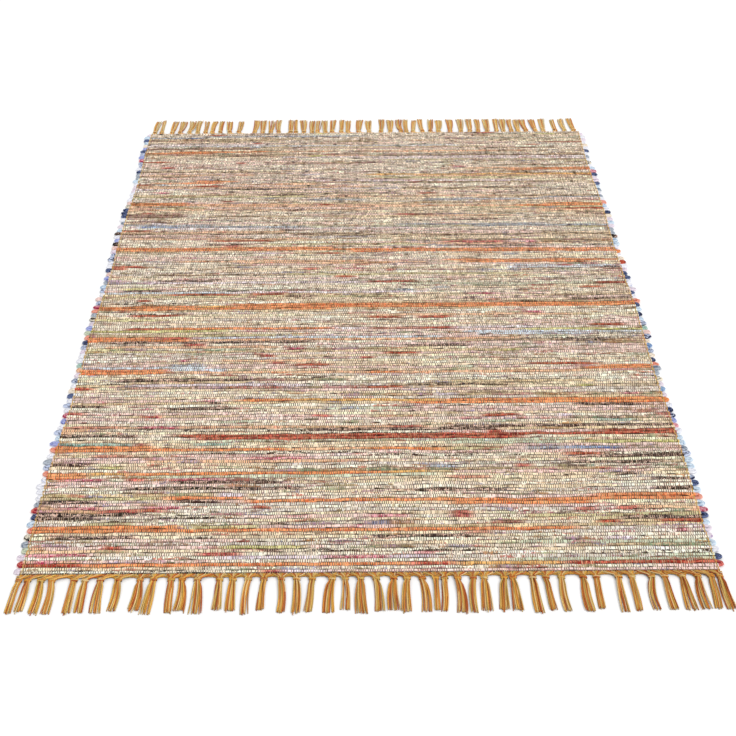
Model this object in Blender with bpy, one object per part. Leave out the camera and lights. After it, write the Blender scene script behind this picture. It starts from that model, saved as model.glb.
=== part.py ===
"""Rag rug lying flat on the floor, in metres, +Z up.

The rug is one cloth of rag strips woven on thin warp ends. Along each end of it the
warp ends are gathered sideways into a narrow header, knotted, and left as tassels.
The origin is on the floor under the rug's middle, and the rug's length runs along Y.
"""

import math
import random

import bmesh
import bpy

# The woven cloth
CLOTH_WIDTH = 1.600  # from the first warp end to the last
CLOTH_LENGTH = 2.280  # of woven rags, between the two headers
PICKS = 200  # rag strips laid across the width, one rib each
RIB_TOP = 0.0070
RIB_VALLEY = 0.0046
RIB_UNEVEN = 0.0008  # how far a rib's height strays
RIB_SKEW = 0.0012  # how far one end of a rib strays along the rug
SIDE_WAVE = 0.0025  # how far the sides stray from straight
SIDE_WAVE_LENGTH = 0.62
SHOULDER = 0.004  # the rounded top edge lies this far inside the last warp end

# The turns of the rag at the two sides, one for each two ribs
TURN_ROWS = 4
TURN_SHARE = (0.0, 0.86, 1.0, 0.86)  # of the turn's reach, at each of its rows
TURN_REACH = (0.0110, 0.0215)  # least and most, outside the last warp end
TURN_NOTCH = 0.0015  # the reach between two turns
TURN_BELLY = 0.45  # share of the height at which a turn reaches furthest
TURN_UNDERCUT = 0.0020

# The knotted headers, as depths from the cloth's edge and heights from the floor
SEAM_GAP = 0.0003
ARCH = {"depth": 0.0130, "top": 0.0048}
KNOT_SIDE = {"depth": 0.0165, "top": 0.0064}
KNOT_CROWN = {"depth": 0.0190, "top": 0.0088}
KNOT_WIDTH = 0.015

# The tassels: each is a few locks side by side, which part from the knot on
LOCKS = 3
LENGTH_STRAY = 0.006
LOCK_GAP = 0.0011
TASSEL_GAP = 0.0016
CROWN_SHARE = 0.62  # width of a lock's top, as a share of its foot
LOCK_SECTIONS = (
    {"along": 0.14, "fan": 0.45, "top": 0.0062},
    {"along": 0.52, "fan": 0.85, "top": 0.0050},
    {"along": 1.00, "fan": 1.00, "top": 0.0036},
)

# The hand-tied knots of an edge, from the left, in centimetres to the right of the middle.
# The tassels' lengths beyond their knots change evenly from the first to the second, and
# their tips are as wide as anything between the two widths.
TIP_LEAN = 0.007  # how far a tassel's tip lies to either side of its knot
FRINGES = {
    "near_fringe": {
        "side": -1,
        "lengths": (0.089, 0.093),
        "tips": (0.017, 0.029),
        "knots": "-79.5 -77.5 -74.5 -72 -67 -64.5 -61 -57 -52 -49 -45 -42.5 -39 -34 -31 -27.5 -24 -20 "
                 "-16.5 -13 -8.5 -5.5 -2 1.5 5.5 8.5 12 15 17 20 23.5 26 30.5 32.5 37 40 43.5 48.5 "
                 "51.5 56.5 59.5 64 67 71 74.5 77.5 79.5",
    },
    "far_fringe": {
        "side": 1,
        "lengths": (0.092, 0.092),
        "tips": (0.020, 0.032),
        "knots": "-79 -76.5 -72.5 -69.5 -66 -63 -60 -57.5 -54.5 -51 -47.5 -41.5 -38.5 -35.5 -32.5 -28 "
                 "-26 -23 -20 -18 -15 -12.5 -9 -6.5 -2.5 1.5 6 9.5 13.5 15.5 18 21.5 24.5 27.5 32 36 "
                 "39.5 42.5 46 49.5 52 55 57.5 60.5 64 67 71.5 75 78.5",
    },
}

FINISHES = {
    "woven_cloth": {"colour": (0.62, 0.50, 0.36, 1.0), "roughness": 0.95},
    "near_fringe": {"colour": (0.62, 0.33, 0.06, 1.0), "roughness": 0.90},
    "far_fringe": {"colour": (0.62, 0.33, 0.06, 1.0), "roughness": 0.90},
}


def clear_scene():
    for thing in list(bpy.data.objects):
        bpy.data.objects.remove(thing)


def new_object(name, mesh):
    """Closes the work on a bmesh and places it in the scene under its node's name."""
    bmesh.ops.recalc_face_normals(mesh, faces=mesh.faces)
    data = bpy.data.meshes.new(name)
    mesh.to_mesh(data)
    mesh.free()
    finish = bpy.data.materials.new(name)
    finish.use_nodes = True
    shader = finish.node_tree.nodes["Principled BSDF"]
    shader.inputs["Base Color"].default_value = FINISHES[name]["colour"]
    shader.inputs["Roughness"].default_value = FINISHES[name]["roughness"]
    shader.inputs["Metallic"].default_value = 0.0
    data.materials.append(finish)
    bpy.context.collection.objects.link(bpy.data.objects.new(name, data))


def first_ring(mesh, points):
    """A closed end face through the points, as the start of a lofted body."""
    ring = bmesh.ops.create_circle(mesh, segments=len(points), cap_ends=True)["verts"]
    return move_to(list(ring), points)


def next_ring(mesh, ring, points):
    """Draws the ring of vertices out by one section, onto the points."""
    edges = [mesh.edges.get(pair) for pair in zip(ring, ring[1:] + ring[:1])]
    made = set(bmesh.ops.extrude_edge_only(mesh, edges=edges)["geom"])
    drawn = []
    for vertex in ring:
        ends = (edge.other_vert(vertex) for edge in vertex.link_edges)
        drawn.append(next(end for end in ends if end in made))
    return move_to(drawn, points)


def move_to(vertices, points):
    for vertex, point in zip(vertices, points):
        vertex.co = point
    return vertices


def side_wave(y, phase):
    return SIDE_WAVE * math.sin(2 * math.pi * y / SIDE_WAVE_LENGTH + phase)


def turn_reaches(chance, first_row):
    """How far the rag turns stand out of one side, row by row from the near end."""
    reaches = []
    for row in range(2 * PICKS + 1):
        step = (row - first_row) % TURN_ROWS
        if step == 0 or row == 0:
            full = chance.uniform(*TURN_REACH)
        reaches.append(max(TURN_NOTCH, full * TURN_SHARE[step]))
    return reaches


def woven_cloth():
    """One flat slab: a rib for each rag strip, and the strips' turns at both sides."""
    chance = random.Random(7)
    left_reach = turn_reaches(chance, 0)
    right_reach = turn_reaches(chance, TURN_ROWS // 2)
    pitch = CLOTH_LENGTH / PICKS
    mesh = bmesh.new()
    ring = None
    for row in range(2 * PICKS + 1):
        ends = row in (0, 2 * PICKS)
        y = row * pitch / 2 - CLOTH_LENGTH / 2
        skew = 0.0 if ends else chance.uniform(-RIB_SKEW, RIB_SKEW)
        level = RIB_TOP if row % 2 else RIB_VALLEY
        if row % 2:
            level -= chance.uniform(0.0, RIB_UNEVEN)
        left = -CLOTH_WIDTH / 2 + side_wave(y, 0.4)
        right = CLOTH_WIDTH / 2 + side_wave(y, 2.1)
        left_out = left - left_reach[row]
        right_out = right + right_reach[row]
        points = (
            (left_out + TURN_UNDERCUT, y - skew, 0.0),
            (left_out, y - skew, level * TURN_BELLY),
            (left + SHOULDER, y - skew, level),
            (right - SHOULDER, y + skew, level),
            (right_out, y + skew, level * TURN_BELLY),
            (right_out - TURN_UNDERCUT, y + skew, 0.0),
        )
        ring = next_ring(mesh, ring, points) if ring else first_ring(mesh, points)
    mesh.faces.new(ring)
    new_object("woven_cloth", mesh)


def knots_of(fringe, chance):
    """The edge's tassels in order, each with its knot's place and its tip's place."""
    knots = []
    left_length, right_length = fringe["lengths"]
    for place in fringe["knots"].split():
        x = float(place) / 100
        tip_half = chance.uniform(*fringe["tips"]) / 2
        length = left_length + (right_length - left_length) * (x / CLOTH_WIDTH + 0.5)
        length += chance.uniform(-LENGTH_STRAY, LENGTH_STRAY)
        knots.append({"x": x, "left": x - tip_half, "right": x + tip_half, "length": length})
    for knot in knots:
        lean = chance.uniform(-TIP_LEAN, TIP_LEAN)
        knot["left"] += lean
        knot["right"] += lean
    for knot, after in zip(knots, knots[1:]):
        spare = after["left"] - knot["right"] - TASSEL_GAP
        if spare < 0:
            knot["right"] += spare / 2
            after["left"] -= spare / 2
    return knots


def header_columns(knots):
    """The header's sections from left to right: those of each knot, and an arch between."""
    columns = []
    for place, knot in enumerate(knots):
        for root in range(LOCKS + 1):
            shape = KNOT_SIDE if root in (0, LOCKS) else KNOT_CROWN
            columns.append((knot["x"] + KNOT_WIDTH * (root / LOCKS - 0.5), shape))
        if place + 1 < len(knots):
            columns.append(((knot["x"] + knots[place + 1]["x"]) / 2, ARCH))
    return columns


def corners(face):
    """The face's corners as low left, low right, high right and high left."""
    by_x = sorted(face.verts, key=lambda vertex: vertex.co.x)
    low_left, high_left = sorted(by_x[:2], key=lambda vertex: vertex.co.z)
    low_right, high_right = sorted(by_x[2:], key=lambda vertex: vertex.co.z)
    return low_left, low_right, high_right, high_left


def grow_lock(mesh, root, knot, number, side):
    """Draws one lock out of its root on the knot, flat on the floor to its tip."""
    low_left, low_right, _, _ = corners(root)
    root_left, root_right = low_left.co.x, low_right.co.x
    root_y = (low_left.co.y + low_right.co.y) / 2
    tip_pitch = (knot["right"] - knot["left"] + LOCK_GAP) / LOCKS
    tip_left = knot["left"] + tip_pitch * number
    tip_right = tip_left + tip_pitch - LOCK_GAP
    face = root
    for section in LOCK_SECTIONS:
        fan = section["fan"]
        left = root_left + (tip_left - root_left) * fan
        right = root_right + (tip_right - root_right) * fan
        inset = (right - left) * (1 - CROWN_SHARE) / 2
        y = root_y + side * knot["length"] * section["along"]
        face = bmesh.ops.extrude_discrete_faces(mesh, faces=[face])["faces"][0]
        points = (
            (left, y, 0.0),
            (right, y, 0.0),
            (right - inset, y, section["top"]),
            (left + inset, y, section["top"]),
        )
        move_to(corners(face), points)


def knotted_fringe(name):
    """A narrow header with a row of knots, and each tassel's locks out of its knot."""
    fringe = FRINGES[name]
    side = fringe["side"]
    chance = random.Random(name)
    knots = knots_of(fringe, chance)
    inner = side * (CLOTH_LENGTH / 2 + SEAM_GAP)
    cloth_edge = side * CLOTH_LENGTH / 2
    mesh = bmesh.new()
    rings = []
    for x, shape in header_columns(knots):
        outer = cloth_edge + side * shape["depth"]
        points = (
            (x, inner, 0.0),
            (x, inner, shape["top"]),
            (x, outer, shape["top"]),
            (x, outer, 0.0),
        )
        ring = next_ring(mesh, rings[-1], points) if rings else first_ring(mesh, points)
        rings.append(ring)
    mesh.faces.new(rings[-1])
    for place, knot in enumerate(knots):
        for number in range(LOCKS):
            here = rings[place * (LOCKS + 2) + number]
            there = rings[place * (LOCKS + 2) + number + 1]
            root = mesh.faces.get((here[2], here[3], there[3], there[2]))
            grow_lock(mesh, root, knot, number, side)
    new_object(name, mesh)


clear_scene()
woven_cloth()
for fringe_name in FRINGES:
    knotted_fringe(fringe_name)
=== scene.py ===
"""The looks of a rag rug that lies flat on a pale floor, in metres, +Z up.

The file follows the rug as it is woven: rags, warp ends, the rags' turns at the
sides, and last the twined, knotted and tasselled ends.
"""

import math
import random
from collections import namedtuple

import bmesh
import bpy
import numpy as np
from mathutils import Matrix


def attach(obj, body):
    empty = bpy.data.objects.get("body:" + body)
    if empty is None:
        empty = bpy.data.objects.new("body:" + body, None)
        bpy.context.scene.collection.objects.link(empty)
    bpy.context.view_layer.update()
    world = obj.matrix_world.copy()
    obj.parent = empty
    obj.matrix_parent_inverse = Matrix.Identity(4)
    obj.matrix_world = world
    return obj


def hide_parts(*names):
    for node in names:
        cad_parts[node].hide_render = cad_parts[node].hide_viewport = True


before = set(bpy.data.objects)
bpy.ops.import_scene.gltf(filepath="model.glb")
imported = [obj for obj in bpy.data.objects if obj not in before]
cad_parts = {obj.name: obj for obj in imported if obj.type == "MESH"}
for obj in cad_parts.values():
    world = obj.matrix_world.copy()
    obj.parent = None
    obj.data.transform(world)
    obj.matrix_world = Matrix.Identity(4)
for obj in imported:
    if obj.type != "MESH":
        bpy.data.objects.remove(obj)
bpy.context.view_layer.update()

# --- The camera ---------------------------------------------------------------
# It stands three metres in front of the rug's middle, a little above head height,
# and looks down along the rug's length.

CAMERA_PLACE = (-0.0077, -3.1566, 2.0621)
CAMERA_DOWN = 36.26
CAMERA_RIGHT = 0.19
CAMERA_ROLL = -0.28
CAMERA_LENS = 61.03

camera = bpy.data.objects.new("camera", bpy.data.cameras.new("camera"))
bpy.context.scene.collection.objects.link(camera)
camera.data.lens = CAMERA_LENS
camera.data.clip_end = 200.0
camera.matrix_world = (
    Matrix.Translation(CAMERA_PLACE)
    @ Matrix.Rotation(math.radians(-CAMERA_RIGHT), 4, "Z")
    @ Matrix.Rotation(math.radians(90 - CAMERA_DOWN), 4, "X")
    @ Matrix.Rotation(math.radians(CAMERA_ROLL), 4, "Z")
)
bpy.context.scene.camera = camera

# --- The floor and the light --------------------------------------------------
# A white studio floor under an even white sky, and one wide soft lamp far off and high
# up, in front of the rug and to its right.

FLOOR_HALF = 30.0
FLOOR_DROP = 0.0004
SKY = 0.86
LAMP_TURN = (38.0, 0.0, 52.0)  # tilt from straight overhead, and its way round
LAMP_STRENGTH = 1.15
LAMP_SPREAD = 35.0

bpy.context.scene.view_settings.view_transform = "Standard"
world = bpy.data.worlds.new("even white sky")
world.use_nodes = True
world.node_tree.nodes["Background"].inputs["Color"].default_value = (1.0, 1.0, 1.0, 1.0)
world.node_tree.nodes["Background"].inputs["Strength"].default_value = SKY
bpy.context.scene.world = world

lamp = bpy.data.objects.new("soft lamp", bpy.data.lights.new("soft lamp", "SUN"))
bpy.context.scene.collection.objects.link(lamp)
lamp.data.energy = LAMP_STRENGTH
lamp.data.angle = math.radians(LAMP_SPREAD)
lamp.rotation_euler = [math.radians(turn) for turn in LAMP_TURN]

slab = bmesh.new()
bmesh.ops.create_grid(slab, x_segments=1, y_segments=1, size=FLOOR_HALF)
bmesh.ops.translate(slab, verts=slab.verts, vec=(0.0, 0.0, -FLOOR_DROP))
floor = bpy.data.objects.new("floor", bpy.data.meshes.new("floor"))
slab.to_mesh(floor.data)
slab.free()
bpy.context.scene.collection.objects.link(floor)
floor_paint = bpy.data.materials.new("white floor")
floor_paint.use_nodes = True
paint = floor_paint.node_tree.nodes["Principled BSDF"]
paint.inputs["Base Color"].default_value = (0.96, 0.96, 0.96, 1.0)
paint.inputs["Roughness"].default_value = 0.9
paint.inputs["Specular IOR Level"].default_value = 0.0
floor.data.materials.append(floor_paint)

# --- The rags -----------------------------------------------------------------
# Strips of old cotton cloth, creased into soft ropes and laid across the warp one
# pick after another. Each pick is a flattened rib. A rag runs for half a metre or so,
# turning at the side to come back as the next pick, until another takes over.

CLOTH_WIDTH = 1.600
CLOTH_LENGTH = 2.280
PICKS = 200
PITCH = CLOTH_LENGTH / PICKS
COLUMNS = 160
ROWS_A_PICK = 3
SHOULDERS = (0.22, 0.78)  # of the pitch, where a rib's flattened top begins and ends
RAG_TOP = 0.0067
RAG_VALLEY = 0.0027
RAG_SWELL = 0.0006
END_SHADE = 0.22  # on the outer flanks of the first and last picks, against the header
PICK_DRIFT = 0.0013
THICK_STRAY = 0.0011

# A rag's own colour, its print's colour, how much of it is printed, how often the weaver
# takes it up, and how much of its colour clings as lint to the warp that holds it. Those
# never taken up by chance are in the chart, the flecks or the turns alone.
Rag = namedtuple("Rag", "ground print share often cling")
RAGS = {
    "white": Rag("F8EAD8", "C8AA88", 0.28, 30, 0.30),
    "cream": Rag("F6E2C4", "BFA47A", 0.30, 24, 0.30),
    "sand": Rag("E4CFA8", "8A7048", 0.34, 8, 0.25),
    "mist": Rag("E6DED4", "80746C", 0.36, 7, 0.25),
    "pink": Rag("F4D6CE", "C48484", 0.30, 15, 0.35),
    "lilac": Rag("EEE2EC", "B6A0BE", 0.28, 4, 0.35),
    "peach": Rag("F2C29E", "D88C60", 0.34, 6, 0.45),
    "olive": Rag("DAD2A2", "8C8450", 0.34, 4, 0.30),
    "sage": Rag("CED6BE", "74886C", 0.34, 3, 0.30),
    "speckle": Rag("F0E6D2", "1C140E", 0.54, 9, 0.44),
    "umber": Rag("D4BC9C", "32241A", 0.64, 2, 0.40),
    "dark": Rag("DCBAAA", "1A110D", 0.88, 1, 0.70),
    "wine": Rag("A07870", "40201E", 0.56, 0, 0.25),
    "slate": Rag("B4BCC6", "5A6A84", 0.40, 1, 0.35),
    "blue": Rag("98B4D4", "4468A8", 0.44, 0, 0.40),
    "sky": Rag("D6E6F4", "90B0D0", 0.32, 1, 0.35),
    "snow": Rag("F6F6FC", "C4C8E0", 0.26, 0, 0.30),
    "violet": Rag("AEB6E6", "6A74BC", 0.40, 0, 0.30),
    "ink": Rag("CCD6EE", "1A2146", 0.56, 0, 0.30),
    "navy": Rag("66749C", "181F3E", 0.56, 0, 0.25),
    "teal": Rag("B2CEC2", "5A9084", 0.44, 0, 0.35),
    "lime": Rag("DAD696", "A0A04C", 0.44, 0, 0.35),
    "marigold": Rag("E8B468", "CC8C48", 0.40, 0, 0.50),
    "coral": Rag("F0A894", "DC6A4C", 0.40, 0, 0.50),
    "orange": Rag("F0985E", "D46636", 0.44, 0, 0.50),
    "red": Rag("CE5E42", "8A1E14", 0.66, 0, 0.45),
    "brick": Rag("D0907C", "8C4840", 0.46, 0, 0.40),
    "crimson": Rag("DA7468", "9A2032", 0.56, 0, 0.40),
    "magenta": Rag("EAA8B0", "A82C50", 0.58, 0, 0.40),
}
# At the near end and at the far end: how light the rags are, how far those laid by chance
# fade towards the warm grey of trodden cotton, and how strongly dark specks show.
PICK_TONE = (1.11, 1.01)
PICK_FADE = (0.0, 0.40)
SPECKS = (0.12, 0.50)
SPECKS_FROM = 0.6  # of the noise's width, and less leaves no speck
CHARTED = (0.94, 0.86)  # how far a stripe covers what lies there, in the near and far halves
FADED = (1.25, 0.98, 0.74)  # that grey's red, green and blue, as shares of a colour's lightness
EYE = (0.3, 0.6, 0.1)  # how much red, green and blue count for a colour's lightness
MOTTLE, SHADING = 0.09, 0.04  # how unevenly a rag takes the light, close by and far along it
GAP_SHADE = "2E1C12"  # down between two picks
RUN_TAPER = 4.0  # the most centimetres over which a stripe or fleck comes in or goes out

# The stripes that stand out, as a weaver would note them from the near end: a pick, then
# each rag with where it starts and ends, in centimetres to the right of the middle.
CHART = """
0: speckle -80 -30, crimson -25 -20, lilac -20 -10
2: red -80 -65, orange -65 10, red 10 20, marigold 20 45, red 45 80
4: lilac -35 -10, magenta -10 5, lilac 5 15
5: magenta -80 -65, crimson -40 -30, speckle 45 80
6: dark -25 -20, speckle -20 35
7: lime -35 -15
10: dark -75 -55, speckle -45 -35, dark 0 25
12: orange -80 50
13: orange -80 -45
14: red 55 60, red 70 80
15: speckle -75 -50, dark 60 80
16: dark -80 -65, speckle -50 -35, magenta 0 10, crimson 20 25
17: dark -80 -55, crimson 20 25
18: crimson -65 -55, crimson 50 55, crimson 60 65
19: magenta -75 -65, magenta -55 -45
20: orange 20 55
21: dark -80 -65, dark -50 -35, orange -30 80
22: olive -75 -50, orange -50 -30, orange 55 80
24: dark 10 35, dark 70 80
25: dark -60 -15
27: dark -50 -20, dark 70 80
28: magenta -75 -65, crimson -60 -55, magenta -50 -35, brick 20 30
29: orange -80 -70
30: orange -80 -70, marigold -70 -60, orange -60 5, marigold 5 15
33: dark -80 -70, dark 50 75
35: magenta -30 -15, dark 50 80
36: brick -70 -60, speckle 0 40, red 50 60, speckle 60 80
37: speckle -45 0
38: orange -80 -20, peach -20 0, orange 0 20, slate 40 50, blue 50 65
39: orange -80 -55
40: teal -80 -60, teal -45 -35, sage 20 50, lime 55 80
42: red -45 40
43: dark -80 -60, red -50 80
44: speckle -20 20, red 60 80
45: speckle -70 -15, dark -15 35
46: brick -80 -65, magenta -60 -50, dark 20 80
48: mist -75 -55, sage -40 -30, sage 30 40, teal 60 70
50: crimson -60 -55, pink -35 0, crimson -15 -10, red 30 40
51: crimson -80 -75, pink -75 -35
53: dark -55 -35
54: dark -80 -70, speckle 20 35, dark 55 75
55: orange 10 80
56: orange -35 -20, marigold -20 20, orange 20 80
61: red -80 -75, red 0 10
62: umber 5 40
63: speckle -80 -65
64: dark -70 -30, speckle 25 65
65: speckle -30 -10
67: orange -80 -55, peach -50 0, orange 0 10, peach 10 60
68: orange -80 -55, orange 60 80
69: sage 25 30, orange 65 80
70: slate -55 -45, red -20 -10, red 45 65
75: red 5 15
78: dark 10 30
80: dark -75 -15, dark 55 70
81: orange -80 -50, peach -50 40, speckle 45 70
82: orange -80 -60, red -60 -50
83: speckle 65 80
85: lime -80 -40, lime 45 80
86: red -70 -60, orange -60 -10, brick 0 15, red 15 25
87: red 65 75
90: olive -80 -60
91: red 0 10, red 15 25
92: red -70 -55
93: speckle -75 -55
95: orange -80 -10
96: orange -80 -50, marigold -50 -40, orange -40 80
97: orange -40 80
98: speckle -75 -50, umber 40 60
99: dark 60 80
101: dark -25 -15, umber 50 80
102: red -60 -40, red -35 -25, magenta 30 40, pink 40 55
104: dark -75 -60, speckle -60 -30
105: lime -75 -65, slate 20 25
107: red 70 80
108: red 0 15
109: dark -65 -45
112: umber -65 -25, olive -25 50
115: red -80 -75, crimson -20 -15, magenta -10 0, dark 70 80
116: red -80 -70, crimson 60 65
118: orange 30 70
119: peach -60 0, orange 25 80
123: speckle -55 -35
124: orange -5 80
125: orange -80 80
126: orange -80 -10
127: dark 30 50, speckle 65 80
128: dark -50 -35
129: crimson 25 45
130: red -50 -30
133: umber -20 80
134: umber -80 0
135: pink 30 55
136: red -80 -70
138: blue -75 -60, slate -60 -20, slate 35 80
139: slate -80 -50, slate 10 60
141: dark -80 -65, speckle -65 -20
142: dark 30 45
144: wine -80 -60, umber -50 -35
145: wine -80 -60, dark 70 80
146: speckle -30 -5
148: red 65 80
150: peach -55 50, orange 50 80
151: orange -80 -60, peach -60 -20, orange 60 80
152: orange -80 -60
154: slate -20 0, slate 20 60
155: slate 60 80
156: olive -80 -20, umber 45 80
157: dark -40 -20
161: dark -50 -20
163: red -60 -50
164: red -80 -75, peach -45 -15
165: peach -75 -65, orange -65 -50
166: orange -60 -45
168: olive 0 60
169: umber -80 -60
170: marigold 0 80
172: umber -80 -40
173: orange 50 80
174: peach 35 60, orange 60 80
176: umber 45 80
179: red -80 -70
183: umber -60 -25, umber 0 80
185: orange -80 -55
186: orange -70 -35, peach -35 -10, peach 0 60
188: wine -80 -40
192: brick 65 80
196: slate -80 -65, blue -65 -60
197: slate -60 0
"""
# Short bright and dark bits of rag lie between the stripes: how many of each.
FLECKS = {"crimson": 16, "magenta": 14, "red": 14, "dark": 14, "lilac": 12, "lime": 8, "slate": 6,
          "brick": 8}
FLECK_LENGTH = (3, 7)  # centimetres

chance = np.random.default_rng(11)


def linear(code):
    """A colour written as six hexadecimal digits, as the light that it gives back."""
    shares = [int(code[place:place + 2], 16) / 255 for place in (0, 2, 4)]
    return [s / 12.92 if s <= 0.04045 else ((s + 0.055) / 1.055) ** 2.4 for s in shares]


def smoothed(values, reach, axis):
    """The array's values, each one the mean of those up to so many places away."""
    padded = np.pad(values, [(reach, reach) if a == axis else (0, 0) for a in (0, 1)], "edge")
    sums = np.cumsum(np.insert(padded, 0, 0.0, axis=axis), axis=axis)
    width = 2 * reach + 1
    upper = np.take(sums, np.arange(width, sums.shape[axis]), axis=axis)
    lower = np.take(sums, np.arange(sums.shape[axis] - width), axis=axis)
    return (upper - lower) / width


def looked_up(field, across, along):
    """A field of values over the cloth, read between its places; across, along in 0 to 1."""
    rows, columns = field.shape
    x = np.clip(across, 0, 1) * (columns - 1)
    y = np.clip(along, 0, 1) * (rows - 1)
    left, low_row = np.floor(x).astype(int), np.floor(y).astype(int)
    right, high_row = np.minimum(left + 1, columns - 1), np.minimum(low_row + 1, rows - 1)
    x, y = x - left, y - low_row
    below = field[low_row, left] * (1 - x) + field[low_row, right] * x
    above = field[high_row, left] * (1 - x) + field[high_row, right] * x
    return below * (1 - y) + above * y


def unit_noise(rows, columns, reach_rows, reach_columns):
    """Smooth random values about zero, as wide as one."""
    values = chance.normal(size=(rows, columns))
    values = smoothed(smoothed(values, reach_rows, 0), reach_columns, 1)
    return values / values.std()


SWELL_PLACES, DRIFT_PLACES = 200, 64  # across the rug
SIDE_WAVE, SIDE_WAVE_LENGTH = 0.0025, 0.62
SIDE_PHASES = (0.4, 2.1)
HELD_PART = 12  # over a twelfth of the rug at each end, the picks lie straighter

swell = unit_noise(PICKS, SWELL_PLACES, 0, 1) * RAG_SWELL
drift = unit_noise(PICKS, DRIFT_PLACES, 4, 5) * PICK_DRIFT
drift = drift + unit_noise(PICKS, DRIFT_PLACES, 0, 1) * THICK_STRAY


def side_wave(y, phase):
    """How far the rug's side strays from a straight line, the same as its solid's."""
    return SIDE_WAVE * np.sin(2 * np.pi * y / SIDE_WAVE_LENGTH + phase)


def laid(points):
    """Takes points of a perfectly square weave to where the weaver's hand put them."""
    across, along = points[:, 0] / CLOTH_WIDTH + 0.5, points[:, 1] / CLOTH_LENGTH + 0.5
    left, right = (side_wave(points[:, 1], phase) for phase in SIDE_PHASES)
    held = np.clip(HELD_PART * np.minimum(along, 1 - along), 0, 1)
    out = points.copy()
    out[:, 0] += left + (right - left) * np.clip(across, 0, 1)
    out[:, 1] += looked_up(drift, across, along) * held
    return out


# The prints of the rags laid by chance turn towards one of these colours after another.
FIGURES = ("D89098", "D07468", "90A884", "A8A8C4", "C08A58", "8C7468", "B8A878", "C8A0B4")
FIGURE_LENGTH = (2, 9)  # centimetres
FIGURE_SHARE = 0.70
RAG_LENGTH = (10, 110)  # centimetres
SHARE_STRAY = 0.22  # how far the printed share of a rag strays along it


def rag_table():
    """At each centimetre of each pick: the rag's colour, its print's colour, the share that
    is printed and the share that clings, as eight numbers."""
    names = list(RAGS)
    kinds = np.array([
        [*linear(rag.ground), *linear(rag.print), rag.share, rag.cling]
        for rag in RAGS.values()
    ])
    shuttle = random.Random(5)
    often = [rag.often for rag in RAGS.values()]
    stations = int(CLOTH_WIDTH * 100)
    weft = []
    while len(weft) < PICKS * stations:
        rag = shuttle.choices(range(len(names)), often)[0]
        weft += [rag] * shuttle.randint(*RAG_LENGTH)
    table = kinds[np.array(weft[:PICKS * stations]).reshape(PICKS, stations)]
    table[::2] = table[::2, ::-1]
    figures = []
    while len(figures) < PICKS * stations:
        figures += [shuttle.randrange(len(FIGURES))] * shuttle.randint(*FIGURE_LENGTH)
    dyes = np.array([linear(code) for code in FIGURES])[np.array(figures[:PICKS * stations])]
    dyes = dyes.reshape(PICKS, stations, 3)
    table[:, :, 3:6] = table[:, :, 3:6] * (1 - FIGURE_SHARE) + dyes * FIGURE_SHARE
    table[:, :, 6] += SHARE_STRAY * unit_noise(PICKS, stations, 0, 3)
    faded = np.linspace(*PICK_FADE, PICKS)[:, None, None]
    for first in (0, 3):
        colour = table[:, :, first:first + 3]
        grey = (colour @ EYE)[:, :, None]
        table[:, :, first:first + 3] = colour * (1 - faded) + grey * FADED * faded
    runs = []
    for rag, count in FLECKS.items():
        for _ in range(count):
            start = shuttle.randint(-stations // 2, stations // 2 - FLECK_LENGTH[1])
            runs.append((shuttle.randrange(PICKS), rag, start, start + shuttle.randint(*FLECK_LENGTH)))
    for line in CHART.strip().splitlines():
        pick, stripes = line.split(":")
        for stripe in stripes.split(","):
            rag, start, end = stripe.split()
            runs.append((int(pick), rag, int(start), int(end)))
    middle = np.arange(stations) + 0.5 - stations / 2
    for pick, rag, start, end in runs:
        taper = min(RUN_TAPER, 0.3 * (end - start)) if start > -stations / 2 else 0.5
        there = np.clip((middle - start) / taper + 0.5, 0, 1)
        taper = min(RUN_TAPER, 0.3 * (end - start)) if end < stations / 2 else 0.5
        there = (there * np.clip((end - middle) / taper + 0.5, 0, 1))[:, None]
        there *= CHARTED[pick >= PICKS // 2]
        table[pick] = table[pick] * (1 - there) + kinds[names.index(rag)] * there
    return table


rag_at = rag_table()
pick_light = 1 + MOTTLE * unit_noise(PICKS, rag_at.shape[1], 0, 4)
pick_light += SHADING * unit_noise(PICKS, rag_at.shape[1], 0, 30)
dots = np.clip(unit_noise(PICKS, rag_at.shape[1], 0, 0) - SPECKS_FROM, 0, 2)
pick_light -= np.linspace(*SPECKS, PICKS)[:, None] * dots
pick_light *= np.linspace(*PICK_TONE, PICKS)[:, None]


def rag_colours(picks, x):
    """Ground and print colours of the rags at those picks and places across, as RGBA, and
    what clings. The ground's alpha is one, and the print's is the share that is printed."""
    station = (x / CLOTH_WIDTH + 0.5) * rag_at.shape[1] - 0.5
    before = np.clip(np.floor(station).astype(int), 0, rag_at.shape[1] - 2)
    part = np.clip(station - before, 0, 1)[:, None]
    rag = rag_at[picks, before] * (1 - part) + rag_at[picks, before + 1] * part
    light = pick_light[picks, before][:, None]
    ground = np.column_stack([rag[:, 0:3] * light, np.ones(len(rag))])
    printed = np.column_stack([rag[:, 3:6] * light, rag[:, 6]])
    return np.clip(ground, 0, 1), np.clip(printed, 0, 1), rag[:, 7]


def placed(name, mesh):
    """Closes the work on a bmesh and gives its object, in the scene."""
    data = bpy.data.meshes.new(name)
    mesh.to_mesh(data)
    mesh.free()
    piece = bpy.data.objects.new(name, data)
    bpy.context.scene.collection.objects.link(piece)
    return piece


def points_of(piece):
    points = np.empty(3 * len(piece.data.vertices))
    piece.data.vertices.foreach_get("co", points)
    return points.reshape(-1, 3)


def move_points(piece, points):
    piece.data.vertices.foreach_set("co", points.astype(np.float32).ravel())
    piece.data.update()


def keep(piece, name, values, domain="POINT"):
    """Stores rows of three as a named vector, and rows of four as a named colour."""
    vectors = values.shape[1] == 3
    kind, field = ("FLOAT_VECTOR", "vector") if vectors else ("BYTE_COLOR", "color")
    attribute = piece.data.attributes.new(name, kind, domain)
    attribute.data.foreach_set(field, values.astype(np.float32).ravel())


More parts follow.
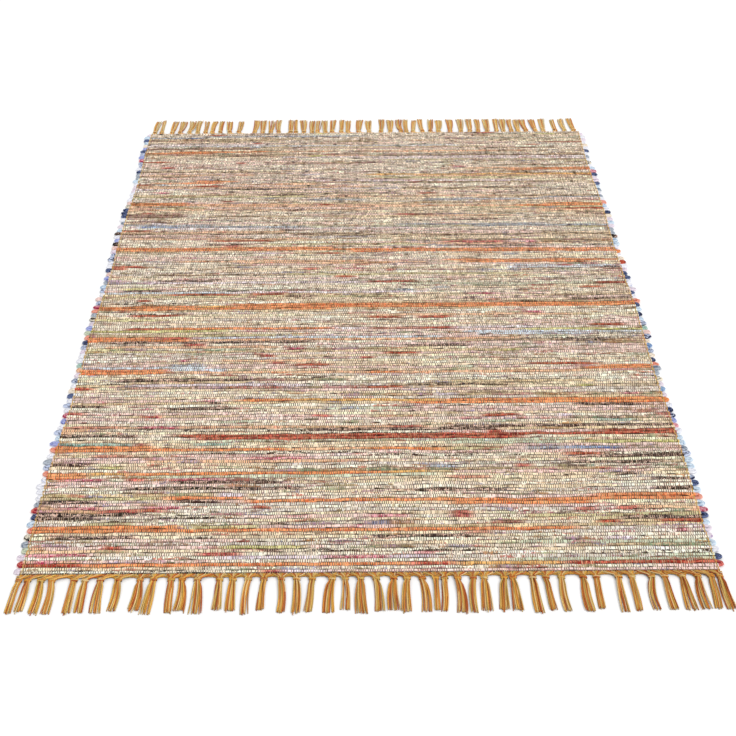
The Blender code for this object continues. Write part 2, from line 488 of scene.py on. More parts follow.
def vertices_in(made):
    return [item for item in made["geom"] if isinstance(item, bmesh.types.BMVert)]


def rim_in(made):
    edges = [item for item in made["geom"] if isinstance(item, bmesh.types.BMEdge)]
    return [edge for edge in edges if edge.is_boundary]


def rag_sheet():
    """One grid for all the picks, drawn up into ribs and closed down to the floor."""
    rows = PICKS * ROWS_A_PICK
    mesh = bmesh.new()
    bmesh.ops.create_grid(mesh, x_segments=COLUMNS, y_segments=rows, size=0.5)
    rim = [edge for edge in mesh.edges if edge.is_boundary]
    walls = bmesh.ops.extrude_edge_only(mesh, edges=rim)
    bmesh.ops.translate(mesh, verts=vertices_in(walls), vec=(0.0, 0.0, -1.0))
    bmesh.ops.edgeloop_fill(mesh, edges=rim_in(walls))
    bmesh.ops.recalc_face_normals(mesh, faces=mesh.faces)
    piece = placed("woven_rags", mesh)
    grid = points_of(piece)
    row = np.rint((grid[:, 1] + 0.5) * rows).astype(int)
    pick = np.minimum(row // ROWS_A_PICK, PICKS - 1)
    step = row - pick * ROWS_A_PICK
    along = (pick + np.choose(step, (0.0, SHOULDERS[0], SHOULDERS[1], 1.0))) * PITCH
    across = grid[:, 0] * CLOTH_WIDTH
    on_top = np.isin(step, (1, 2))
    weave = np.column_stack([across, along - CLOTH_LENGTH / 2, np.zeros(len(grid))])
    height = np.where(on_top, RAG_TOP, RAG_VALLEY)
    height += np.where(on_top, 1.0, 0.35) * looked_up(swell, grid[:, 0] + 0.5, pick / (PICKS - 1))
    weave[:, 2] = np.where(grid[:, 2] < -0.5, 0.0, height)
    return piece, weave


woven_rags, rag_weave = rag_sheet()
move_points(woven_rags, laid(rag_weave))
keep(woven_rags, "weave", rag_weave)


def corner_data(piece, weave):
    """For each face corner: its weave coordinates, and the middle of its face's."""
    data = piece.data
    vertex = np.empty(len(data.loops), np.int32)
    data.loops.foreach_get("vertex_index", vertex)
    total = np.empty(len(data.polygons), np.int32)
    data.polygons.foreach_get("loop_total", total)
    face = np.repeat(np.arange(len(total)), total)
    corner = weave[vertex]
    middle = np.column_stack([np.bincount(face, corner[:, a]) / total for a in range(3)])
    return corner, middle[face]


corner, middle = corner_data(woven_rags, rag_weave)
pick_of_face = np.clip(((middle[:, 1] + CLOTH_LENGTH / 2) / PITCH).astype(int), 0, PICKS - 1)
ground, printed, _ = rag_colours(pick_of_face, corner[:, 0])
outermost = np.abs(middle[:, 1]) > CLOTH_LENGTH / 2 - SHOULDERS[0] * PITCH
ground[outermost, :3] *= END_SHADE
printed[outermost, :3] *= END_SHADE
keep(woven_rags, "ground", ground, "CORNER")
keep(woven_rags, "print", printed, "CORNER")

# A map for baking: the top takes most of the square, the underside the rest.
TOP_SHARE = 0.86
underneath = middle[:, 2] < RAG_VALLEY / 2
flat_u = corner[:, 0] / CLOTH_WIDTH + 0.5
flat_v = corner[:, 1] / CLOTH_LENGTH + 0.5
flat_v = np.where(underneath, TOP_SHARE + 0.01 + flat_v * (0.99 - TOP_SHARE), flat_v * TOP_SHARE)
bake_map = woven_rags.data.uv_layers.new(name="OFBake")
bake_map.data.foreach_set("uv", np.column_stack([flat_u, flat_v]).astype(np.float32).ravel())
woven_rags.data.shade_smooth()


class Value:
    """A number in a shader. Python's operators on it add the Math nodes."""

    def __init__(self, finish, socket):
        self.finish, self.socket = finish, socket

    def worked(self, operation, *values):
        settings = {"operation": operation}
        return self.finish.add("ShaderNodeMath", settings, dict(enumerate(values)))["Value"]

    def __add__(self, other):
        return self.worked("ADD", self, other)

    def __sub__(self, other):
        return self.worked("SUBTRACT", self, other)

    def __rsub__(self, other):
        return self.worked("SUBTRACT", other, self)

    def __mul__(self, other):
        return self.worked("MULTIPLY", self, other)

    __radd__, __rmul__ = __add__, __mul__

    def floor(self):
        return self.worked("FLOOR", self)

    def wave(self):
        return self.worked("SINE", self)

    def kept(self, low=0.0, high=1.0):
        return self.worked("MINIMUM", self.worked("MAXIMUM", self, low), high)


class Finish:
    """A material in the making: a Principled shader and the nodes that feed it."""

    def __init__(self, name):
        self.material = bpy.data.materials.new(name)
        self.material.use_nodes = True
        self.tree = self.material.node_tree
        self.shader = self.tree.nodes["Principled BSDF"]

    def add(self, kind, settings, values):
        """A node of that kind: its settings first, then its sockets' values or links."""
        node = self.tree.nodes.new(kind)
        for key, setting in settings.items():
            setattr(node, key, setting)
        for key, value in values.items():
            self.feed(self.socket(node.inputs, key), value)
        return {socket.name: Value(self, socket) for socket in node.outputs if socket.enabled}

    def socket(self, sockets, key):
        usable = [socket for socket in sockets if socket.enabled]
        return usable[key] if isinstance(key, int) else next(s for s in usable if s.name == key)

    def feed(self, socket, value):
        if isinstance(value, Value):
            self.tree.links.new(value.socket, socket)
        else:
            socket.default_value = value

    def wear(self, **values):
        """Feeds the Principled shader's own sockets, named with underscores for spaces."""
        for key, value in values.items():
            self.feed(self.shader.inputs[key.replace("_", " ")], value)

    def noise(self, detail, x, y, z=0.0):
        """Noise of 0 to 1 whose patches are about one wide in x, y and z."""
        vector = self.add("ShaderNodeCombineXYZ", {}, {"X": x, "Y": y, "Z": z})["Vector"]
        values = {"Vector": vector, "Scale": 1.0, "Detail": detail}
        return self.add("ShaderNodeTexNoise", {}, values)["Fac"]

    def mixed(self, share, first, second, blend="MIX"):
        settings = {"data_type": "RGBA", "blend_type": blend}
        return self.add("ShaderNodeMix", settings, {"Factor": share, "A": first, "B": second})["Result"]

    def shaded(self, colour, light):
        """The colour times a number."""
        values = {"Red": light, "Green": light, "Blue": light}
        grey = self.add("ShaderNodeCombineColor", {}, values)["Color"]
        return self.mixed(1.0, colour, grey, "MULTIPLY")

    def stored(self, name):
        return self.add("ShaderNodeAttribute", {"attribute_name": name}, {})

    def raised(self, height, depth):
        """A Bump node: heights of 0 to 1 stand so deep, in metres."""
        values = {"Height": height, "Distance": depth, "Strength": 1.0}
        return self.add("ShaderNodeBump", {}, values)["Normal"]


# How long the marks on a rag are, and the painted shade of its crumples, along it and across it, in
# metres.
PATCH = (0.028, 0.02)
SPOT = (0.0052, 0.0056)
STREAK = (0.034, 0.0034)
CRUMPLE_SHADE = (0.0046, 0.006)
CREASE = (0.011, 0.0012)
FOLD_LENGTH = 0.09
GAP_LENGTH = 0.035
CREASE_DEPTH = 0.0016
TURN_GIRTH = 0.020  # the way round a turn's tube


def printed_cotton(name, coordinates, turned=False):
    """Cotton rag, with its print, its creases and painted shade in its crumples, on the named
    coordinates: along the strip, across it, and from strip to strip. A flat strip also has painted shade
    down between the picks. A turned strip has its coordinates as a yarn's are kept."""
    finish = Finish(name)
    stored = finish.stored(coordinates)["Vector"]
    place = finish.add("ShaderNodeSeparateXYZ", {}, {"Vector": stored})
    if turned:
        along, across, strip = place["Y"], place["X"] * TURN_GIRTH, place["Z"]
    else:
        along, across, strip = place["X"], place["Y"], (place["Y"] * (1 / PITCH)).floor()
    ground, printed = finish.stored("ground"), finish.stored("print")
    patch = finish.noise(1.0, along * (1 / PATCH[0]), strip * 3.1, across * (1 / PATCH[1]))
    spot = finish.noise(2.0, along * (1 / SPOT[0]), across * (1 / SPOT[1]), strip * 5.3)
    streak = finish.noise(2.0, along * (1 / STREAK[0]), across * (1 / STREAK[1]), strip * 2.3)
    fold = finish.noise(1.0, along * (1 / FOLD_LENGTH), strip * 4.1)
    fold = ((across * (1 / PITCH) + 2.5 * fold) * math.tau).wave()
    inked = 0.72 * spot + 0.34 * streak + 0.28 * patch + 0.10 * fold
    inked = ((inked - (0.86 - 0.36 * printed["Alpha"])) * 18.0).kept()
    colour = finish.mixed(inked, ground["Color"], printed["Color"])
    # Painted shade of the rag's crumples, darkening its colour in small patches.
    crumple_shade = finish.noise(0.0, along * (1 / CRUMPLE_SHADE[0]), strip * 7.7, across * (1 / CRUMPLE_SHADE[1]))
    if turned:
        colour = finish.shaded(colour, (0.92 + 0.16 * patch) * (0.84 + 0.28 * crumple_shade))
    else:
        light = ((0.98 + 0.70 * patch) * (0.34 + 1.70 * crumple_shade)).kept(0.2, 1.08)
        colour = finish.shaded(colour, light)
        valley = ((across * (math.tau / PITCH) + math.pi / 2).wave() * 2.2 - 0.8).kept()
        gap = finish.noise(2.0, along * (1 / GAP_LENGTH), strip * 9.1)
        gap = (0.50 + 9.0 * (gap - 0.5)).kept(0.08, 1.0)
        colour = finish.mixed(valley * gap, colour, (*linear(GAP_SHADE), 1.0))
    crease = finish.noise(3.0, along * (1 / CREASE[0]), across * (1 / CREASE[1]), strip * 1.7)
    finish.wear(
        Base_Color=colour,
        Roughness=0.80 + 0.15 * crease,
        Specular_IOR_Level=0.2,
        Normal=finish.raised(crease, CREASE_DEPTH),
    )
    return finish.material


woven_rags.data.materials.append(printed_cotton("printed cotton rags", "weave"))
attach(woven_rags, "root")
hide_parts("woven_cloth")

# --- The warp -----------------------------------------------------------------
# Some 580 ends of cotton yarn in mustard, rust and khaki. Each passes over every
# other rag and under those between, so what shows is a brick pattern of short floats.

END_PITCH = 0.00273
ENDS = 584
FLOAT_WIDTH = 0.0026
FLOAT_ARCH = ((-0.5, 0.0030), (-0.27, 0.0070), (0.27, 0.0070), (0.5, 0.0030))
FLOAT_STRAY = 0.00020
WARP_PANELS = 3
FADED_SHARE = 0.48  # of the yarns' colour, where feet have trodden
GROUP_DRAW = 0.06  # how far the ends of one group are drawn together, as a share of their pitch
FLOAT_LIGHT = (0.24, 0.60)  # painted shade at a float's ends, which dip between the picks, and painted light on its top
FLOAT_UNEVEN, LINT_UNEVEN = 0.14, 0.42  # how far a float's light strays, and its lint's
FLOAT_SWAY, FLOAT_RISE = 0.05, 0.00022  # how far a float leans, and how far its top strays
END_UNEVEN = 0.12
PLY_LENGTH = 0.0045
GROOVE_DEPTH = 0.0006
GROUPS = (7, 8)  # the warp ends stand in groups of seven and of eight by turns
GROUP_START = 5

# The yarns, and the order in which the warper laid thirty of them, over and over.
YARNS = {
    "mustard": "E4AE52",
    "ochre": "DA9648",
    "rust": "C06A3A",
    "clay": "CA945C",
    "straw": "ECCE98",
    "khaki": "DCBA70",
    "moss": "CCA85E",
}
ENDS_IN_TURN = (
    "khaki mustard mustard ochre rust clay straw khaki khaki mustard ochre rust clay straw khaki "
    "khaki moss ochre ochre rust rust straw khaki moss ochre ochre rust clay straw khaki"
).split()


def dyes_of(names):
    return np.array([linear(YARNS[name]) for name in names])


# From left to right, the repeat starting at the middle end.
end_colours = dyes_of(ENDS_IN_TURN[(end - ENDS // 2) % len(ENDS_IN_TURN)] for end in range(ENDS))
end_light = 1 + END_UNEVEN * unit_noise(ENDS, 1, 1, 0)
end_places = (np.arange(ENDS) - (ENDS - 1) / 2) * END_PITCH
in_groups = (np.arange(ENDS) - ENDS // 2 - GROUP_START) % sum(GROUPS)
middles = (GROUPS[0] - 1) / 2, GROUPS[0] + (GROUPS[1] - 1) / 2
off_middle = in_groups - np.where(in_groups < GROUPS[0], middles[0], middles[1])
end_draw = -GROUP_DRAW * END_PITCH * off_middle


def arrayed(piece, *repeats):
    """The piece's mesh repeated by Array modifiers, one for each (count, step), and applied."""
    for count, step in repeats:
        array = piece.modifiers.new("repeat", "ARRAY")
        array.count = count
        array.use_relative_offset = False
        array.use_constant_offset = True
        array.constant_offset_displace = step
    graph = bpy.context.evaluated_depsgraph_get()
    repeated = bpy.data.meshes.new_from_object(piece.evaluated_get(graph))
    piece.modifiers.clear()
    piece.data = repeated
    return piece


def warp_panel(panel):
    """The floats of a third of the warp: a pair on neighbouring picks, repeated both ways."""
    first, last = (ENDS // 2 * (panel + part) // WARP_PANELS for part in (0, 1))
    mesh = bmesh.new()
    grid = bmesh.ops.create_grid(mesh, x_segments=1, y_segments=3, size=0.5)["verts"]
    for vertex in grid:
        offset, height = FLOAT_ARCH[round((vertex.co.y + 0.5) * 3)]
        vertex.co = (vertex.co.x * FLOAT_WIDTH, offset * PITCH, height)
    second = vertices_in(bmesh.ops.duplicate(mesh, geom=mesh.faces[:]))
    bmesh.ops.translate(mesh, verts=second, vec=(END_PITCH, PITCH, 0.0))
    start = (end_places[2 * first], PITCH / 2 - CLOTH_LENGTH / 2, 0.0)
    bmesh.ops.translate(mesh, verts=mesh.verts, vec=start)
    return arrayed(
        placed(f"warp_floats_{panel + 1}", mesh),
        (last - first, (2 * END_PITCH, 0.0, 0.0)),
        (PICKS // 2, (0.0, 2 * PITCH, 0.0)),
    )


# Stores a yarn's colour with its painted light and shade already in it.
def keep_shaded_dye(piece, tone):
    shaded_dye = np.column_stack([tone, np.ones(len(tone))])
    keep(piece, "shaded_dye", np.clip(shaded_dye, 0, 1))


def plied_yarn(name):
    """Two-ply cotton: the stored yarn colour, which holds painted light, with painted shade in the
    groove between the plies, painted light along the strand's top, and a fine fuzz. The strand's own
    coordinates are the turn around it, the way along it, and its number."""
    finish = Finish(name)
    place = finish.add("ShaderNodeSeparateXYZ", {}, {"Vector": finish.stored("strand")["Vector"]})
    twist = place["Y"] * (1 / PLY_LENGTH) + place["X"] + place["Z"] * 0.37
    groove = (twist * math.tau).wave() * 0.5 + 0.5
    fuzz = finish.noise(2.0, place["X"] * 5.0, place["Y"] * 700.0, place["Z"] * 3.3)
    round_top = (place["X"] * math.tau + math.pi / 2).wave().kept()
    # Painted shade in the groove between the plies and painted light on the strand's top; the fuzz
    # strays at random.
    light = (0.64 + 0.38 * groove + 0.30 * fuzz) * (0.72 + 0.58 * round_top)
    finish.wear(
        Base_Color=finish.shaded(finish.stored("shaded_dye")["Color"], light),
        Roughness=0.78 + 0.2 * fuzz,
        Specular_IOR_Level=0.2,
        Normal=finish.raised(groove + 0.5 * fuzz, GROOVE_DEPTH),
    )
    return finish.material


yarn = plied_yarn("plied cotton yarn")
for panel in range(WARP_PANELS):
    floats = warp_panel(panel)
    square = points_of(floats)
    end = np.clip(np.rint((square[:, 0] - end_places[0]) / END_PITCH).astype(int), 0, ENDS - 1)
    pick = np.clip(((square[:, 1] + CLOTH_LENGTH / 2) / PITCH - 1e-4).astype(int), 0, PICKS - 1)
    part = np.arange(len(square)) // 8
    nudge = chance.normal(size=(part.max() + 1, 4))[part]
    raised = square[:, 2] > RAG_VALLEY + 0.001
    lift = looked_up(swell, square[:, 0] / CLOTH_WIDTH + 0.5, pick / (PICKS - 1))
    strand = np.column_stack([square[:, 0] / FLOAT_WIDTH * 0.5, square[:, 1], end + pick * 0.61])
    square[:, 2] += np.where(raised, lift + FLOAT_RISE * nudge[:, 2], 0.3 * lift)
    middle_y = (pick + 0.5) * PITCH - CLOTH_LENGTH / 2
    sway = FLOAT_SWAY * nudge[:, 1] * (square[:, 1] - middle_y)
    square[:, 0] += end_draw[end] + FLOAT_STRAY * nudge[:, 0] + sway
    move_points(floats, laid(square))
    grey = end_colours[end] @ EYE
    tone = end_colours[end] * (1 - FADED_SHARE) + grey[:, None] * FADED * FADED_SHARE
    tone = tone * pick_light[pick].mean(axis=1)[:, None]
    lint, _, cling = rag_colours(pick, square[:, 0])
    tone = tone * (1 - cling[:, None]) + lint[:, :3] * cling[:, None]
    uneven = (FLOAT_UNEVEN + LINT_UNEVEN * cling) * np.clip(nudge[:, 3], -1.6, 1.6)
    # Painted light and shade: a float's top is lit and its dipping ends are shaded; the rest strays at
    # random.
    light = np.where(raised, FLOAT_LIGHT[1], FLOAT_LIGHT[0]) * (1 + uneven) * end_light[end, 0]
    keep_shaded_dye(floats, tone * light[:, None])
    keep(floats, "strand", strand)
    floats.data.shade_smooth()
    floats.data.materials.append(yarn)
    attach(floats, "root")

# --- The edge ends ------------------------------------------------------------
# The last warp ends at each side stand close together, so their floats follow on
# from one another and draw a mustard line inside the rags' turns.

STRAND_STEP = 0.01  # the way from strand to strand before they are laid in place
STRAND_LIGHT = (0.70, 0.44)  # painted light half way up a strand, and what its top gains on that
EDGE_ENDS = 2
EDGE_ABREAST = 0.0024
EDGE_RADIUS = 0.0012
EDGE_HEIGHT, EDGE_SWING = 0.0046, 0.0027


def strands(name, count, sides, sections):
    """Straight tubes side by side, capped at both ends: rings of points, one unit apart."""
    mesh = bmesh.new()
    ring = bmesh.ops.create_circle(mesh, segments=sides, radius=STRAND_STEP / 4)["verts"]
    upright = Matrix.Rotation(math.pi / 2, 3, "X") @ Matrix.Rotation(math.pi / 2, 3, "Z")
    bmesh.ops.rotate(mesh, verts=ring, matrix=upright)
    edges = mesh.edges[:]
    for section in range(sections):
        drawn = bmesh.ops.extrude_edge_only(mesh, edges=edges)
        bmesh.ops.translate(mesh, verts=vertices_in(drawn), vec=(0.0, 1.0, 0.0))
        edges = rim_in(drawn)
    bmesh.ops.holes_fill(mesh, edges=mesh.edges, sides=0)
    bmesh.ops.recalc_face_normals(mesh, faces=mesh.faces)
    return arrayed(placed(name, mesh), (count, (STRAND_STEP, 0.0, 0.0)))


def lay_strands(piece, paths, widths, heights, dyes):
    """Bends each straight tube along its own path, one point of it for each ring, and gives the tube its
    half width and half height there and its colour from the dyes, with painted light: lighter on top and
    darker underneath."""
    straight = points_of(piece)
    number = np.rint(straight[:, 0] / STRAND_STEP).astype(int)
    section = np.rint(straight[:, 1]).astype(int)
    beside = (straight[:, 0] - number * STRAND_STEP) * 4 / STRAND_STEP
    above = straight[:, 2] * 4 / STRAND_STEP
    way = np.gradient(paths, axis=1)
    way /= np.linalg.norm(way, axis=2, keepdims=True)
    side = np.cross(way, (0.0, 0.0, 1.0))
    side /= np.linalg.norm(side, axis=2, keepdims=True)
    up = np.cross(side, way)
    widths = np.broadcast_to(widths, paths.shape[:2])
    heights = np.broadcast_to(heights, paths.shape[:2])
    where = number, section
    points = paths[where] + side[where] * (beside * widths[where])[:, None]
    points += up[where] * (above * heights[where])[:, None]
    points[:, 2] = np.maximum(points[:, 2], 0.0001)
    steps = np.linalg.norm(np.diff(paths, axis=1), axis=2)
    run = np.concatenate([np.zeros((len(paths), 1)), np.cumsum(steps, axis=1)], axis=1)
    turn = np.arctan2(beside, -above) / math.tau + 0.5
    move_points(piece, points)
    keep(piece, "strand", np.column_stack([turn, run[where], number]))
    # Painted light: each strand's top lighter and its underside darker.
    keep_shaded_dye(piece, dyes[number] * (STRAND_LIGHT[0] + STRAND_LIGHT[1] * above)[:, None])
    piece.data.shade_smooth()
    piece.data.materials.append(yarn)
    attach(piece, "root")
    return piece


def edge_paths():
    """Over one rag and under the next, from one end of the cloth to the other."""
    step = np.arange(2 * PICKS + 1)
    paths = []
    for way in (-1, 1):
        for number in range(EDGE_ENDS):
            x = way * (end_places[-1] - (number - 0.5) * EDGE_ABREAST)
            over = np.sin((step + 2 * (number % 2)) * math.pi / 2)
            y = (step / 2 / PICKS - 0.5) * CLOTH_LENGTH
            height = EDGE_HEIGHT + EDGE_SWING * over
            paths.append(laid(np.column_stack([np.full(len(step), x), y, height])))
    return np.array(paths)


edge_ends = strands("edge_ends", 2 * EDGE_ENDS, 5, 2 * PICKS)
lay_strands(edge_ends, edge_paths(), EDGE_RADIUS, EDGE_RADIUS, dyes_of(["mustard", "khaki"] * 2))

# --- The rags' turns ----------------------------------------------------------
# At each side the rag comes out past the last warp end, doubles back and goes in as
# the next pick. Left of the warp the turns join picks 0 and 1, right of it 1 and 2.

TURN_ROWS = 4
TURN_SHARE = (0.0, 0.86, 1.0, 0.86)
TURN_REACH = (0.0110, 0.0215)
TURN_SIDES, TURN_SECTIONS = 6, 10
TURN_INSIDE = 0.012
TURN_HALF_WIDTH, TURN_HALF_HEIGHT = 0.0054, 0.0036

# What the turns show is mostly white and pale blue, with dark and bright ones between.
TURN_RAGS = {"snow": 38, "sky": 16, "lilac": 14, "ink": 6, "violet": 5, "navy": 5, "pink": 4, "slate": 4,
             "speckle": 3, "magenta": 2, "blue": 2, "teal": 1, "white": 6}

# The turns that stand out: the lower of a turn's two picks, and its rag. The rest fall
# by chance.
TURN_CHART = {
    "left": "0 lilac, 2 crimson, 4 lilac, 6 sage, 8 slate, 10 speckle, 12 coral, 14 sky, 16 navy, "
            "18 crimson, 20 slate, 24 snow, 28 snow, 30 coral, 32 ink, 36 snow, 38 coral, 40 violet, "
            "42 sky, 44 ink, 46 snow, 48 violet, 54 ink, 64 ink, 68 peach, 70 teal, 72 snow, 78 ink, "
            "80 navy, 82 coral, 84 sage, 92 slate, 94 coral, 98 ink, 102 snow, 108 slate, 114 navy, "
            "120 ink, 122 ink, 126 pink, 128 dark, 134 dark, 138 lilac, 140 slate, 144 navy, 146 navy, "
            "148 navy, 152 pink, 154 snow, 160 lilac, 168 slate, 172 navy, 176 ink, 180 magenta, "
            "186 navy, 194 navy",
    "right": "1 crimson, 3 navy, 5 snow, 7 sky, 13 sky, 15 navy, 17 magenta, 21 coral, 25 navy, 27 ink, "
             "31 sky, 35 ink, 37 slate, 41 sky, 45 magenta, 47 violet, 51 navy, 55 orange, 65 slate, "
             "69 coral, 75 ink, 81 ink, 85 teal, 87 ink, 93 sky, 97 coral, 103 lilac, 109 navy, "
             "111 navy, 117 red, 123 orange, 127 sky, 131 dark, 135 slate, 145 navy, 151 coral, "
             "155 slate, 159 slate, 163 navy, 181 slate, 185 navy, 193 lilac",
}


reach_chance = random.Random(7)


def turn_reaches(first_row):
    """How far the turns stand out, row by row from the near end, as on the rug's solid."""
    reaches = []
    for row in range(2 * PICKS + 1):
        step = (row - first_row) % TURN_ROWS
        if step == 0 or row == 0:
            full = reach_chance.uniform(*TURN_REACH)
        reaches.append(full * TURN_SHARE[step])
    return reaches


def strand_numbers(piece):
    """For each point of the piece, the number of its strand."""
    strand = np.empty(3 * len(piece.data.vertices), np.float32)
    piece.data.attributes["strand"].data.foreach_get("vector", strand)
    return np.rint(strand.reshape(-1, 3)[:, 2]).astype(int)


def rag_turns(side):
    """All the turns of one side, as short tubes bent out and back."""
    way = -1 if side == "left" else 1
    first_row = 0 if side == "left" else TURN_ROWS // 2
    reaches = turn_reaches(first_row)
    rows = range(first_row + TURN_ROWS // 2, 2 * PICKS + 1, TURN_ROWS)
    rows = [row for row in rows if row < 2 * PICKS]
    chosen = random.Random(side)
    names = [chosen.choices(list(TURN_RAGS), list(TURN_RAGS.values()))[0] for row in rows]
    for entry in TURN_CHART[side].split(","):
        pick, name = entry.split()
        names[int(pick) // 2] = name
    reach = np.array([reaches[row] for row in rows])[:, None]
    centre = (np.array(rows) / 2 / PICKS - 0.5)[:, None] * CLOTH_LENGTH
    bend = np.linspace(0, math.pi, TURN_SECTIONS + 1)[None, :]
    rough = chance.normal(size=(4, len(rows), TURN_SECTIONS + 1))
    half_width = TURN_HALF_WIDTH * (0.94 + 0.10 * rough[0])
    bulge = np.sin(bend) ** chance.uniform(0.35, 0.65, size=(len(rows), 1))
    out = reach - 0.85 * TURN_HALF_WIDTH + TURN_INSIDE
    x = way * (CLOTH_WIDTH / 2 - TURN_INSIDE + out * bulge)
    y = centre - np.cos(bend) * PITCH * 0.54 + 0.0006 * rough[1]
    pressed = 0.62 + 0.38 * np.clip(3 * bulge - 0.8, 0, 1)
    half_height = TURN_HALF_HEIGHT * pressed * (1 + 0.06 * rough[3])
    z = half_height + 0.0003
    paths = np.stack([x, y, np.broadcast_to(z, x.shape)], axis=2)
    shape = paths.shape
    paths = laid(paths.reshape(-1, 3)).reshape(shape)
    piece = strands(f"{side}_turns", len(rows), TURN_SIDES, TURN_SECTIONS)
    lay_strands(piece, paths, half_width, half_height, np.zeros((len(rows), 3)))
    number = strand_numbers(piece)
    ground = np.array([[*linear(RAGS[name].ground), 1.0] for name in names])
    printed = np.array([[*linear(RAGS[name].print), RAGS[name].share] for name in names])
    keep(piece, "ground", ground[number])
    keep(piece, "print", printed[number])
    piece.data.materials.clear()
    piece.data.materials.append(turn_cotton)
    return piece


turn_cotton = printed_cotton("printed cotton turns", "strand", True)
turns = [rag_turns("left"), rag_turns("right")]

# --- The tasselled ends -------------------------------------------------------
# Beyond the last rag two twined cords hold the picks in. The warp ends are swept
# sideways under them, knotted a dozen or so together, and lie out as tassels.

TASSEL_GAP = 0.0016
LENGTH_STRAY = 0.006
KNOT_START, KNOT_END = 0.0150, 0.0225
KNOT_CENTRE_HEIGHT = 0.0038
KNOT_HALF_WIDTH = 0.0074
KNOT_FILL = 0.86  # of the knot's width, taken up by its ends
TIP_LEAN = 0.007  # how far a tassel's tip lies to either side of its knot
YARN_RADIUS = 0.0015

# At each end: how light and how deep the dyes are, and how deep the header is; how long the
# tassels are at the left and at the right, and the least and most that their tips spread;
# and where the hand-tied knots lie, in centimetres to the right of the middle.
FRINGES = {
    "near_fringe": {
        "side": -1,
        "tone": 1.03,
        "depth": 1.12,
        "header": 1.0,
        "lengths": (0.089, 0.093),
        "tips": (0.017, 0.029),
        "knots": "-79.5 -77.5 -74.5 -72 -67 -64.5 -61 -57 -52 -49 -45 -42.5 -39 -34 -31 -27.5 -24 -20 "
                 "-16.5 -13 -8.5 -5.5 -2 1.5 5.5 8.5 12 15 17 20 23.5 26 30.5 32.5 37 40 43.5 48.5 "
                 "51.5 56.5 59.5 64 67 71 74.5 77.5 79.5",
    },
    "far_fringe": {
        "side": 1,
        "tone": 1.10,
        "depth": 0.86,
        "header": 0.55,
        "lengths": (0.092, 0.092),
        "tips": (0.020, 0.032),
        "knots": "-79 -76.5 -72.5 -69.5 -66 -63 -60 -57.5 -54.5 -51 -47.5 -41.5 -38.5 -35.5 -32.5 -28 "
                 "-26 -23 -20 -18 -15 -12.5 -9 -6.5 -2.5 1.5 6 9.5 13.5 15.5 18 21.5 24.5 27.5 32 36 "
                 "39.5 42.5 46 49.5 52 55 57.5 60.5 64 67 71.5 75 78.5",
    },
}


def knots_of(fringe, tied):
    """The edge's tassels in order, each with its knot's place and its tip's place."""
    knots = []
    left_length, right_length = fringe["lengths"]
    for place in fringe["knots"].split():
        x = float(place) / 100
        tip_half = tied.uniform(*fringe["tips"]) / 2
        length = left_length + (right_length - left_length) * (x / CLOTH_WIDTH + 0.5)
        length += tied.uniform(-LENGTH_STRAY, LENGTH_STRAY)
        knots.append({"x": x, "left": x - tip_half, "right": x + tip_half, "length": length})
    for knot in knots:
        lean = tied.uniform(-TIP_LEAN, TIP_LEAN)
        knot["left"] += lean
        knot["right"] += lean
    for knot, after in zip(knots, knots[1:]):
        spare = after["left"] - knot["right"] - TASSEL_GAP
        if spare < 0:
            knot["right"] += spare / 2
            after["left"] -= spare / 2
    return knots


EVENNESS = 0.70  # how far the ends are shared out by number, and not by the nearest knot
CROSSING = 0.009


def gathered(knots):
    """The knot that each warp end goes to. Where two knots' ends part, some cross over."""
    x = np.array([knot["x"] for knot in knots])
    halfway = (x[1:] + x[:-1]) / 2
    evenly = np.linspace(end_places[0], end_places[-1], len(x) + 1)[1:-1]
    partings = halfway * (1 - EVENNESS) + evenly * EVENNESS
    return np.searchsorted(partings, end_places + chance.uniform(-CROSSING, CROSSING, size=ENDS))


TASSEL_SECTIONS = 7
STRAY_ENDS, LONG_ENDS = 0.07, 0.03  # the share that strays aside, and that was cut too long


